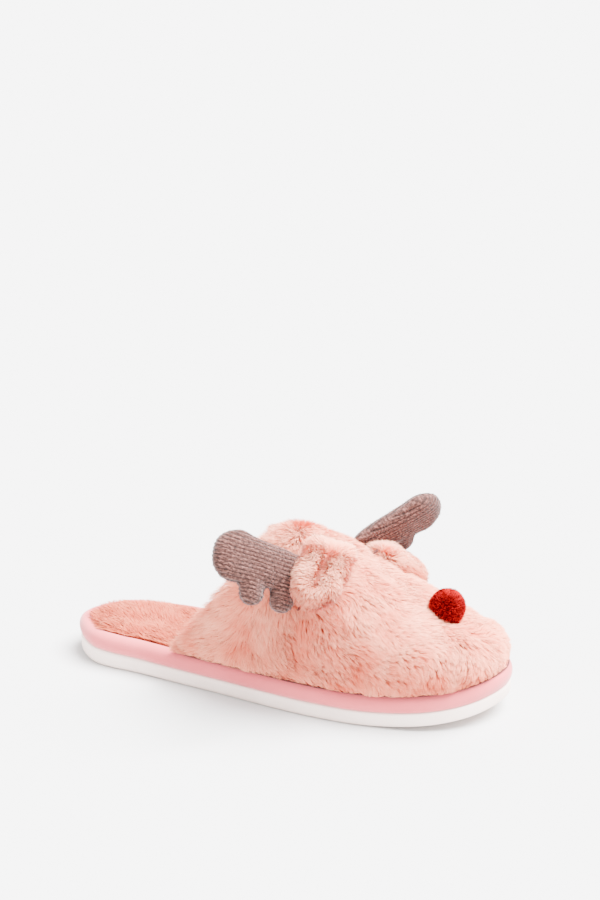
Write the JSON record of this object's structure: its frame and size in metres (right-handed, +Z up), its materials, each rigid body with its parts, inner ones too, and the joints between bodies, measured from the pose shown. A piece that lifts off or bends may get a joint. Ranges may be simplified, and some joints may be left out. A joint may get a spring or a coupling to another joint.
{
  "type": "house slipper",
  "caption": "Open-back plush slipper with a fur vamp, stuffed knitted antlers, soft ears and a pompom nose on a foam sole with a padded fabric rand.",
  "frame": {"origin": "on the floor under the middle of the outsole's length", "axes": "+X towards the toe, +Y towards the inner side of the foot, +Z up"},
  "size_m": [0.2666, 0.1451, 0.1074],
  "materials": {
    "foam_white": "matte foam",
    "platform": "matte foam",
    "rand_pink": "smooth brushed",
    "board": "fibre board",
    "foam_pad": "matte foam",
    "coral_plush": "short plush",
    "fur": "long pile",
    "lining": "short plush",
    "thread": "twisted thread",
    "knit": "melange knit",
    "stuffing": "loose fibre",
    "ear_pink": "short plush",
    "red_yarn": "dense yarn pile"
  },
  "bodies": {
    "root": {"outsole": "foam_white", "platform_foam": "platform", "rand_wrap": "rand_pink", "insole_board": "board", "footbed_foam": "foam_pad", "footbed_plush": "coral_plush", "footbed_seam_thread": "thread", "vamp_fur": "fur", "vamp_foam": "foam_pad", "vamp_lining": "lining", "topline_tape": "lining", "upper_seam_thread": "thread", "antler_right_tack": "thread", "antler_left_tack": "thread", "ear_right_tack": "thread", "ear_left_tack": "thread"},
    "antler_right": {"antler_right_cover": "knit", "antler_right_filling": "stuffing"},
    "antler_left": {"antler_left_cover": "knit", "antler_left_filling": "stuffing"},
    "ear_right": {"ear_right_outer": "fur", "ear_right_inner": "ear_pink"},
    "ear_left": {"ear_left_outer": "fur", "ear_left_inner": "ear_pink"},
    "nose_knot": {"nose_tie": "thread"},
    "nose": {"nose_pompom": "red_yarn"}
  },
  "joints": [
    {"name": "antler_right_fold", "type": "hinge", "parent": "root", "child": "antler_right", "pos_m": [0.02359, -0.03529, 0.07618], "axis": [-0.0588, -0.5426, -0.8379], "range_deg": [-20, 30], "stiffness_Nm_per_rad": 0.08},
    {"name": "antler_left_fold", "type": "hinge", "parent": "root", "child": "antler_left", "pos_m": [0.02327, 0.03356, 0.07376], "axis": [-0.0963, 0.6586, -0.7463], "range_deg": [-40, 4], "stiffness_Nm_per_rad": 0.08},
    {"name": "ear_right_swing", "type": "hinge", "parent": "root", "child": "ear_right", "pos_m": [0.03757, -0.02112, 0.08667], "axis": [0.9719, 0.1264, -0.1986], "range_deg": [-45, 2], "stiffness_Nm_per_rad": 0.03},
    {"name": "ear_left_swing", "type": "hinge", "parent": "root", "child": "ear_left", "pos_m": [0.03956, 0.01989, 0.0853], "axis": [-0.5951, 0.803, -0.0326], "range_deg": [-45, 10], "stiffness_Nm_per_rad": 0.03},
    {"name": "nose_nod", "type": "hinge", "parent": "root", "child": "nose_knot", "pos_m": [0.09137, 0, 0.04907], "axis": [0, 1, 0], "range_deg": [-8, 8], "stiffness_Nm_per_rad": 0.05},
    {"name": "nose_sway", "type": "hinge", "parent": "nose_knot", "child": "nose", "pos_m": [0.09137, 0, 0.04907], "axis": [0.9124, 0, -0.4094], "range_deg": [-8, 8], "stiffness_Nm_per_rad": 0.05}
  ]
}
